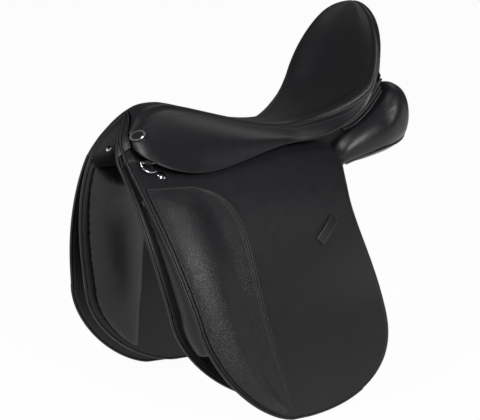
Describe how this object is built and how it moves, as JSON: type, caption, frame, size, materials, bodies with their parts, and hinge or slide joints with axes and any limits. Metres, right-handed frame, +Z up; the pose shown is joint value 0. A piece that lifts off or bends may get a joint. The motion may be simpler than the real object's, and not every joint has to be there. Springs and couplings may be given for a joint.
{
  "type": "dressage saddle",
  "caption": "Black leather dressage saddle with a deep seat, lifting skirts and flaps, knee pads, flocked panels, stirrup bars, dee rings and girth straps.",
  "frame": {"origin": "on the centre plane under the seat, at the line of the horse's spine that the panels straddle", "axes": "+X to the horse's head, +Y to the rider's left, +Z up"},
  "size_m": [0.4863, 0.4382, 0.6027],
  "materials": {
    "flap_leather": "satin black, fine grain",
    "seat_leather": "soft semi-gloss black",
    "panel_leather": "soft semi-gloss black",
    "grained_leather": "matt black, pebble grain",
    "bright_metal": "polished",
    "bar_steel": "brushed",
    "tree_wood": "lacquered laminate",
    "webbing": "woven",
    "foam": "open-cell foam"
  },
  "bodies": {
    "saddle": {"tree": "tree_wood", "gullet_plate": "bar_steel", "tree_points": "tree_wood", "seat_web": "webbing", "seat_foam": "foam", "seat_cover": "seat_leather", "cantle_back": "seat_leather", "pommel_facing": "flap_leather", "arch_facing": "flap_leather", "gullet_lining": "panel_leather", "seat_welt_left": "flap_leather", "seat_welt_right": "flap_leather", "skirt_band_left": "flap_leather", "skirt_band_right": "flap_leather", "rear_facing_left": "flap_leather", "rear_facing_right": "flap_leather", "flap_top_left": "flap_leather", "flap_top_right": "flap_leather", "knee_block_left": "panel_leather", "knee_block_right": "panel_leather", "sweat_flap_left": "flap_leather", "sweat_flap_right": "flap_leather", "sweat_piping_left": "flap_leather", "sweat_piping_right": "flap_leather", "panel_left": "panel_leather", "panel_right": "panel_leather", "lower_pad_left": "panel_leather", "lower_pad_right": "panel_leather", "rear_panel_left": "panel_leather", "rear_panel_right": "panel_leather", "stirrup_bar_left": "bar_steel", "stirrup_bar_right": "bar_steel", "dee_chape_left": "bright_metal", "dee_chape_right": "bright_metal", "nail_plate_left": "bright_metal", "nail_plate_right": "bright_metal", "flap_studs": "bright_metal", "arch_studs": "bright_metal"},
    "flap_left": {"flap_left": "flap_leather", "flap_piping_left": "flap_leather", "knee_patch_left": "grained_leather", "keeper_left": "flap_leather"},
    "skirt_left": {"skirt_left": "flap_leather"},
    "bar_catch_left": {"bar_catch_left": "bar_steel"},
    "dee_left": {"dee_ring_left": "bright_metal"},
    "billet_front_left": {"billet_front_left": "flap_leather"},
    "billet_rear_left": {"billet_rear_left": "flap_leather"},
    "flap_right": {"flap_right": "flap_leather", "flap_piping_right": "flap_leather", "knee_patch_right": "grained_leather", "keeper_right": "flap_leather"},
    "skirt_right": {"skirt_right": "flap_leather"},
    "bar_catch_right": {"bar_catch_right": "bar_steel"},
    "dee_right": {"dee_ring_right": "bright_metal"},
    "billet_front_right": {"billet_front_right": "flap_leather"},
    "billet_rear_right": {"billet_rear_right": "flap_leather"}
  },
  "joints": [
    {"name": "flap_left_lift", "type": "hinge", "parent": "saddle", "child": "flap_left", "pos_m": [0, 0.11031, 0.018], "axis": [0.9935, -0.1135, 0], "range_deg": [0, 75]},
    {"name": "skirt_left_lift", "type": "hinge", "parent": "saddle", "child": "skirt_left", "pos_m": [0.09, 0.07494, 0.07301], "axis": [0.9916, -0.1279, 0.0213], "range_deg": [0, 75]},
    {"name": "bar_catch_left_turn", "type": "hinge", "parent": "saddle", "child": "bar_catch_left", "pos_m": [0.09309, 0.06849, 0.05872], "axis": [0, 0.7451, 0.6669], "range_deg": [0, 90]},
    {"name": "dee_left_swing", "type": "hinge", "parent": "saddle", "child": "dee_left", "pos_m": [0.208, 0.07104, 0.04489], "axis": [0.9971, -0.0513, 0.0567], "range_deg": [0, 20]},
    {"name": "billet_front_left_swing", "type": "hinge", "parent": "saddle", "child": "billet_front_left", "pos_m": [0.062, 0.0736, 0.03694], "axis": [0, 0.7853, 0.6191], "range_deg": [-4, 4]},
    {"name": "billet_rear_left_swing", "type": "hinge", "parent": "saddle", "child": "billet_rear_left", "pos_m": [-0.038, 0.08503, 0.03694], "axis": [0, 0.7853, 0.6191], "range_deg": [-4, 4]},
    {"name": "flap_right_lift", "type": "hinge", "parent": "saddle", "child": "flap_right", "pos_m": [0, -0.11031, 0.018], "axis": [-0.9935, -0.1135, 0], "range_deg": [0, 75]},
    {"name": "skirt_right_lift", "type": "hinge", "parent": "saddle", "child": "skirt_right", "pos_m": [0.09, -0.07494, 0.07301], "axis": [-0.9916, -0.1279, -0.0213], "range_deg": [0, 75]},
    {"name": "bar_catch_right_turn", "type": "hinge", "parent": "saddle", "child": "bar_catch_right", "pos_m": [0.09309, -0.06849, 0.05872], "axis": [0, 0.7451, -0.6669], "range_deg": [0, 90]},
    {"name": "dee_right_swing", "type": "hinge", "parent": "saddle", "child": "dee_right", "pos_m": [0.208, -0.07104, 0.04489], "axis": [-0.9971, -0.0513, -0.0567], "range_deg": [0, 20]},
    {"name": "billet_front_right_swing", "type": "hinge", "parent": "saddle", "child": "billet_front_right", "pos_m": [0.062, -0.0736, 0.03694], "axis": [0, 0.7853, -0.6191], "range_deg": [-4, 4]},
    {"name": "billet_rear_right_swing", "type": "hinge", "parent": "saddle", "child": "billet_rear_right", "pos_m": [-0.038, -0.08503, 0.03694], "axis": [0, 0.7853, -0.6191], "range_deg": [-4, 4]}
  ]
}
